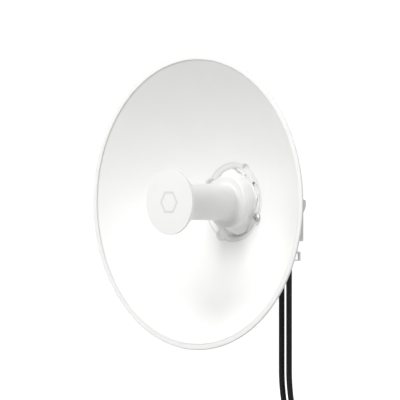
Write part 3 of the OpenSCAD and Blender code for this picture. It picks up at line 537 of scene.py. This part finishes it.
def mark_crease_shade(obj):
    """Stores how near each vertex is to a crease or to the rim's edge, where the paint is darkened as painted
    shade.
    """
    points = np.empty(len(obj.data.vertices) * 3)
    obj.data.vertices.foreach_get("co", points)
    x, y, z = ((points.reshape(-1, 3) - np.array(row_point(0, 0, 0))) / MM).T
    r, angle = np.hypot(x, z), np.arctan2(z, x) % TAU
    near = 0.5 * np.exp(-((RIM_R - r) / SHADE_LINE_W) ** 2)
    for line in (cup_lip(angle), cup_foot(angle), BOWL_R + 0.4):
        near = np.maximum(near, np.exp(-((r - line) / SHADE_LINE_W) ** 2))
    # Only the front of the sheet gets the painted shade
    front = y < np.where(r < BOWL_R, bowl_depth(r), HEM) + 0.9 + CUP_DEEP * (r < HUB_R + 6)
    attribute = obj.data.attributes.new("crease_shade", "FLOAT", "POINT")
    attribute.data.foreach_set("value", (near * front).astype(np.float32))


def build_dish():
    angle = np.arange(FINE_SEGMENTS) * TAU / FINE_SEGMENTS
    rings = cup_rings(angle) + bowl_rings(angle) + rim_profile() + dish_back(angle)
    points, faces = polar_mesh(rings, FINE_SEGMENTS)
    dish = make_object("dish", points, faces, "antenna", "dish_paint", sharp_angle=0.7)
    mark_crease_shade(dish)
    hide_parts("reflector")


# ---------------------------------------------------------------------------------------------- the feed

# The radii are the CAD's. The fillets and edges are finer than the CAD's.
CROWN, CROWN_START = 0.2, 14.0          # how far the cap's face falls back, and the radius where that starts
CAP_EDGE, CAP_SKIN = 0.55, 2.0
FEED_TUBE_R = 28.6
TUBE_WALL, TUBE_FILLET = 2.2, 2.6
COLLAR_R, COLLAR_BASE_R = 42.5, 43.6    # at the shoulder and at the foot
COLLAR_FILLET, COLLAR_SHOULDER = 3.6, 3.0
BORE_LIP = 0.4                          # flat ring between the tube and the fillet
WEB_FRONT, WEB_BACK = 7.6, 10.6         # the collar's inner web lies this far behind its face
WAVE_BORE = 24.8
FLANGE_FLAT = 44.0                      # half the width across the lugs' flats
FLANGE_R = 52.5
LUG_LONG, LUG_RIM, LUG_STEPS = 13.0, 4.4, 30
SLEEVE_R, SLEEVE_WALL, SLEEVE_LONG = 46.0, 3.0, 15.8
SKIRT = 1.9
LATCH_ANGLE, LATCH_HALF = math.radians(49), 12.5
SHORT_WINDOW = (9.5, 25.0)              # from the lobe's middle, along the flat


def build_cap():
    """Front moulding of the feed: a thin drum with a soft edge and a barely crowned face."""
    front, back = depth_range("subreflector_cap")
    r = radius_of("subreflector_cap")
    inner = r - CAP_SKIN
    profile = [(0.5, front), (CROWN_START, front)]
    for t in np.linspace(0.1, 1, 10):
        profile.append((CROWN_START + (r - 1.5 - CROWN_START) * t, front + CROWN * t * t))
    profile += arc(r - CAP_EDGE, front + CROWN + CAP_EDGE, CAP_EDGE, 82, 0, 6)
    profile += [(r, back - 0.7), (r - 0.2, back - 0.2), (r - 0.7, back), (inner, back),
                (inner, front + CAP_SKIN + 0.6), (inner - 0.6, front + CAP_SKIN), (0.5, front + CAP_SKIN)]
    cap = lathe("feed_cap", profile, "antenna", "white_plastic", closed=False)
    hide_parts("subreflector_cap")


def build_tube():
    """The feed tube, with a flange inside the cap and a fillet behind it."""
    front, stop = depth_range("feed_tube")
    rear = depth_range("subreflector_cap")[1]
    flange = radius_of("feed_tube")
    r, inner = FEED_TUBE_R, FEED_TUBE_R - TUBE_WALL
    profile = [(inner, front), (flange, front), (flange, rear - 0.3), (flange - 0.3, rear)]
    profile += arc(r + TUBE_FILLET, rear + TUBE_FILLET, TUBE_FILLET, 90, 180, 10)
    profile += [(r, (rear + stop) / 2), (r, stop), (inner, stop)]
    # The white tube gets the darker tube_plastic slot, which paints the shade the cap casts on it
    tube = lathe("feed_tube_skin", profile, "antenna", "tube_plastic")
    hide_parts("feed_tube")


def lug_outline(angle):
    """Radius of the two square lugs of the collar's foot, which fill opposite quadrants; zero elsewhere."""
    across, along = np.cos(angle - LOBE_ANGLE), np.sin(angle - LOBE_ANGLE)
    square = FLANGE_FLAT / np.maximum(np.abs(across), np.abs(along))
    return np.where(across * along > 0, np.minimum(square, FLANGE_R), 0.0)


def notched_skirt(angle):
    """Radius of the collar's skirt, cut back to the flats where the latch windows run."""
    skirt = np.full_like(angle, SLEEVE_R)
    edge = FLANGE_FLAT + 0.3
    for middle, start, stop in ((LATCH_ANGLE, -LATCH_HALF - 0.5, LATCH_HALF), (LOBE_ANGLE, *SHORT_WINDOW)):
        for half_turn in (0, math.pi):
            off = angle - middle - half_turn
            along = edge * np.tan(off)
            cut = (np.cos(off) > 0.5) & (along > start) & (along < stop)
            flat = edge / np.maximum(np.cos(off), 0.1)
            skirt = np.where(cut, np.minimum(skirt, flat), skirt)
    return skirt


def collar_side(angle, start, back):
    """Rings of the collar's side, which widens into the lugs and ends in the skirt."""
    lugs, skirt = lug_outline(angle), notched_skirt(angle)
    lug_start, lug_end = back - LUG_LONG, back - LUG_RIM
    depths = list(np.linspace(start, lug_start, 8)[1:]) + list(np.linspace(lug_start, lug_end, LUG_STEPS)[1:])
    depths += [lug_end + 0.02, back - SKIRT - 0.02, back - SKIRT, back - 0.02]
    rings = []
    for y in depths:
        outline = np.full_like(angle, COLLAR_R + (COLLAR_BASE_R - COLLAR_R) * (y - start) / (back - start))
        rise = (y - lug_start) / (LUG_LONG - LUG_RIM)
        if rise > 0:
            cone = COLLAR_BASE_R - 1 + (FLANGE_R - COLLAR_BASE_R + 1) * min(1.0, rise)
            outline = np.maximum(outline, smooth_min(lugs, cone, 0.5))
        if y >= back - SKIRT:
            outline = np.maximum(outline, skirt)
        rings.append((outline, y))
    return rings


def build_collar():
    """Stepped collar: fillet to the tube, rounded shoulder, two lugs and a low skirt."""
    angle = (np.arange(FINE_SEGMENTS) + 0.5) * TAU / FINE_SEGMENTS
    front, end = depth_range("feed_collar")
    face = front + COLLAR_FILLET
    back = end - SLEEVE_LONG
    bore = FEED_TUBE_R + 0.1
    curve = COLLAR_FILLET - 0.8
    sleeve_in, hollow = SLEEVE_R - SLEEVE_WALL, COLLAR_R - 3.5

    rings = [(bore, front)]
    rings += arc(bore + BORE_LIP + curve, face - curve, curve, 180, 270, 10)
    rings += arc(COLLAR_R - COLLAR_SHOULDER, face + COLLAR_SHOULDER, COLLAR_SHOULDER, 90, 0, 12)
    rings += collar_side(angle, face + COLLAR_SHOULDER, back)
    rings += [(rings[-1][0] - 0.2, back), (SLEEVE_R * 0.985, back), (SLEEVE_R, back + 0.4), (SLEEVE_R, end),
              (sleeve_in, end), (sleeve_in, back), (hollow, back - 4), (hollow, face + WEB_BACK),
              (WAVE_BORE, face + WEB_BACK), (WAVE_BORE, face + WEB_FRONT), (bore, face + WEB_FRONT)]
    points, faces = polar_mesh(rings, FINE_SEGMENTS, turn=math.pi / FINE_SEGMENTS)
    collar = make_object("feed_collar_skin", points, faces, "antenna", "white_plastic", sharp_angle=0.45)
    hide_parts("feed_collar")


# ---------------------------------------------------------------------------------------------- hub screw

SCREW_SEGMENTS = 120
HEAD_TALL, HEAD_DOME = 4.0, 1.5
CROSS_DEEP = 1.9
CROSS_ARM, CROSS_HALF = 0.58, 0.13      # length and half width of its arms, as shares of the head's radius
CROSS_OUT, CROSS_SLOPE = 0.12, 0.34     # its wall starts this far outside the arm and is this wide
SHANK_R, SHANK_LONG = 3.0, 18.0
WASHER_OVER, WASHER_T, WASHER_CUT = 0.4, 0.8, 0.15  # reach past the head, thickness and chamfer


def screw_head(centre, face, r):
    """A low domed head with a cross recess, and its shank."""
    angle = np.arange(SCREW_SEGMENTS) * TAU / SCREW_SEGMENTS
    top = face - HEAD_TALL
    rings = []
    for rho in [*np.linspace(0.12, r * 0.72, 24), r * 0.78, r * 0.84, r * 0.9, r * 0.95]:
        x, y = np.abs(rho * np.cos(angle)), np.abs(rho * np.sin(angle))
        one_arm = np.maximum(x - r * CROSS_ARM, y - r * CROSS_HALF)
        other_arm = np.maximum(y - r * CROSS_ARM, x - r * CROSS_HALF)
        inside = np.clip((CROSS_OUT - np.minimum(one_arm, other_arm)) / CROSS_SLOPE, 0, 1)
        dome = HEAD_DOME * (rho / r) ** 3.2
        rings.append((rho, top + dome + CROSS_DEEP * inside * inside * (3 - 2 * inside)))
    rings += [(r * 0.985, top + 1.9), (r, top + 2.5), (r, face - 0.25), (r - 0.25, face),
              (SHANK_R, face), (SHANK_R, face + SHANK_LONG)]
    return polar_mesh(rings, SCREW_SEGMENTS, False, centre)


def screw_washer(centre, face, r):
    outer, cut = r + WASHER_OVER, WASHER_CUT
    profile = [(outer - cut, face), (outer, face + cut), (outer, face + WASHER_T - cut),
               (outer - cut, face + WASHER_T), (SHANK_R + 0.2, face + WASHER_T), (SHANK_R + 0.2, face)]
    return polar_mesh(profile, SCREW_SEGMENTS, True, centre)


def build_hub_screw():
    centre = (HUB_SCREW_AT * math.cos(HUB_SCREW_ANGLE), HUB_SCREW_AT * math.sin(HUB_SCREW_ANGLE))
    face = HUB_FLOOR - WASHER_T
    parts = [screw_head(centre, face, HUB_SCREW_HEAD), screw_washer(centre, face, HUB_SCREW_HEAD)]
    screw = make_object("hub_screw", *merged(parts), "antenna", "stainless", sharp_angle=0.5)
    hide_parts("hub_lock_screw")


# ---------------------------------------------------------------------------------------------- CAD nodes

# Nodes whose edges are left as they come, because they are small, curved all over or hidden inside
UNBEVELLED = {"feed_o_rings", "coax_leads", "main_cable", "second_cable", "processor", "thermal_pad",
              "status_lights", "waveguide", "backshort", "dielectric_plug", "probe_board"}
EDGE_MM = {"radio_front_shell": 0.7, "radio_rear_shell": 0.7, "port_cover": 0.7, "clamp_jaw": 0.9,
           "pole_saddle": 0.9, "tilt_yoke": 0.35}
SMALL_EDGE_MM = 0.25                    # for every other node
WELD = 1e-6                             # points closer than this, in metres, are joined
FLAT_WITHIN = math.radians(0.5)         # faces nearer to one plane than this are joined
EDGE_OVER = math.radians(32)            # edges sharper than this are rounded


def finish_node(obj, node, slot, material):
    """Smooths a CAD node's shading, softens its edges and gives it its material."""
    obj.data.materials.clear()
    obj.data.materials.append(material)
    obj.data.polygons.foreach_set("use_smooth", [True] * len(obj.data.polygons))
    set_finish(obj, slot)
    weld = obj.modifiers.new("weld", "WELD")
    weld.merge_threshold = WELD
    flat = obj.modifiers.new("flat", "DECIMATE")
    flat.decimate_type = "DISSOLVE"
    flat.angle_limit = FLAT_WITHIN
    if node not in UNBEVELLED:
        bevel = obj.modifiers.new("edge", "BEVEL")
        bevel.width = EDGE_MM.get(node, SMALL_EDGE_MM) * MM
        bevel.segments = 2
        bevel.limit_method = "ANGLE"
        bevel.angle_limit = EDGE_OVER
        bevel.harden_normals = True
    normals = obj.modifiers.new("normals", "WEIGHTED_NORMAL")
    normals.keep_sharp = True


def finish_nodes(materials):
    slots = {part["node"]: part["material_slot"] for part in frame["record"]["subparts"]}
    for node, obj in frame["nodes"].items():
        finish_node(obj, node, slots[node], materials[slots[node]])


def paint_pieces(materials):
    """Gives the pieces built here the materials of their slots."""
    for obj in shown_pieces():
        if "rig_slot" in obj and "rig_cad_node" not in obj:
            obj.data.materials.clear()
            obj.data.materials.append(materials[obj["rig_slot"]])


# ---------------------------------------------------------------------------------------------- the stage

# Places and sizes are in metres and powers in watts. Each light looks at the dish.
LIGHTS = [
    ("key_high", (0.10, -1.0, 2.6), 1.3, 7.0),
    ("key_mid", (0.10, -1.7, 2.3), 1.0, 23.0),
    ("key_left", (-1.1, -1.5, 2.2), 1.3, 14.0),
    ("key_right", (1.3, -1.5, 2.2), 1.3, 20.0),
    ("front", (0.1, -3.0, 0.4), 1.3, 29.0),
    ("left", (-2.6, -1.4, 0.5), 1.3, 2.0),
    ("right", (2.6, 0.2, 0.7), 1.3, 9.0),
    ("back", (0.5, 3.0, 1.8), 2.2, 70.0),
]
SEEN = 1.05                             # brightness of the room, and of the floor's glow, to the camera
AMBIENT = 0.07                          # the room's brightness as a light
ROOM = 1.0                              # the room's brightness in reflections
FLOOR_GAP, FLOOR_HALF = 0.002, 30.0
FLOOR_GREY = (0.53, 0.56)               # clouded between these

# A long lens from far off, since the object is seen almost without perspective
CAMERA_TURN = math.radians(45)
CAMERA_FAR, CAMERA_CLIP = 27.0, 200.0
AIM_RIGHT, AIM_UP = 0.0050, 0.0033      # where the picture's middle is, from the boresight at the rim
FRAME_WIDE = 0.6308                     # width of the picture at the object
SENSOR = 36.0


def stage_material():
    """Mid-grey paper, which throws back less light than white, with a white glow for the camera only."""
    g = Graph("floor_paper")
    shade = g.ramp(g.noise(900, 2), 0.3, 0.7, 0.0, 1.0)
    colour = g.mix(shade, *((grey, grey, grey, 1) for grey in FLOOR_GREY))
    seen = g.add("ShaderNodeLightPath").outputs["Is Camera Ray"]
    return g.finish(**{"Base Color": colour, "Roughness": 0.9, "Specular IOR Level": 0.1,
                       "Emission Color": (1, 1, 1, 1), "Emission Strength": g.math("MULTIPLY", seen, SEEN)})


def build_floor():
    """A flat floor just under the object, wide enough to reach past every view."""
    low, high = cad_box
    middle = Vector(((low.x + high.x) / 2, (low.y + high.y) / 2, low.z - FLOOR_GAP))
    corners = [(-FLOOR_HALF, -FLOOR_HALF), (FLOOR_HALF, -FLOOR_HALF),
               (FLOOR_HALF, FLOOR_HALF), (-FLOOR_HALF, FLOOR_HALF)]
    mesh = bpy.data.meshes.new("floor")
    mesh.from_pydata([middle + Vector((x, y, 0)) for x, y in corners], [], [(0, 1, 2, 3)])
    mesh.materials.append(stage_material())
    floor = bpy.data.objects.new("floor", mesh)
    bpy.context.scene.collection.objects.link(floor)


def area_light(name, place, aim, size, power):
    light = bpy.data.lights.new(name, "AREA")
    light.shape = "DISK"
    light.size = size
    light.energy = power
    obj = bpy.data.objects.new(name, light)
    obj.location = place
    obj.rotation_mode = "QUATERNION"
    obj.rotation_quaternion = (Vector(aim) - Vector(place)).to_track_quat("-Z", "Y")
    bpy.context.scene.collection.objects.link(obj)


def background(tree, strength):
    node = tree.nodes.new("ShaderNodeBackground")
    node.inputs["Color"].default_value = (1, 1, 1, 1)
    node.inputs["Strength"].default_value = strength
    return node.outputs["Background"]


def choice(tree, ray, other, chosen):
    """The chosen shader for one kind of ray, and the other for the rest."""
    path = tree.nodes.new("ShaderNodeLightPath")
    mix = tree.nodes.new("ShaderNodeMixShader")
    tree.links.new(path.outputs[ray], mix.inputs["Fac"])
    tree.links.new(other, mix.inputs[1])
    tree.links.new(chosen, mix.inputs[2])
    return mix.outputs["Shader"]


def build_world():
    """A plain white room: white to the camera, bright in reflections and dim as a light."""
    world = bpy.data.worlds.new("studio")
    bpy.context.scene.world = world
    world.use_nodes = True
    tree = world.node_tree
    tree.nodes.clear()
    lit = choice(tree, "Is Glossy Ray", background(tree, AMBIENT), background(tree, ROOM))
    shown = choice(tree, "Is Camera Ray", lit, background(tree, SEEN))
    out = tree.nodes.new("ShaderNodeOutputWorld")
    tree.links.new(shown, out.inputs["Surface"])


def build_lights():
    dish = (AXIS_X, RIM_Y, AXIS_Z)
    for name, place, size, power in LIGHTS:
        area_light(name, place, dish, size, power)


def build_camera():
    camera = bpy.data.objects.new("camera", bpy.data.cameras.new("camera"))
    bpy.context.scene.collection.objects.link(camera)
    bpy.context.scene.camera = camera
    back = Vector((math.sin(CAMERA_TURN), -math.cos(CAMERA_TURN), 0))
    right = Vector((math.cos(CAMERA_TURN), math.sin(CAMERA_TURN), 0))
    aim = row_point(0, 0, 0) + right * AIM_RIGHT + Vector((0, 0, AIM_UP))
    camera.location = aim + back * CAMERA_FAR
    camera.rotation_mode = "QUATERNION"
    camera.rotation_quaternion = (-back).to_track_quat("-Z", "Y")
    camera.data.sensor_width = SENSOR
    camera.data.lens = SENSOR * CAMERA_FAR / FRAME_WIDE
    camera.data.clip_end = CAMERA_CLIP


def build():
    scene = bpy.context.scene
    scene.view_settings.view_transform = "Standard"
    scene.view_settings.look = "None"
    materials = make_materials()
    build_dish()
    build_cap()
    build_tube()
    build_collar()
    build_hub_screw()
    finish_nodes(materials)
    paint_pieces(materials)
    build_floor()
    build_world()
    build_lights()
    build_camera()


build()
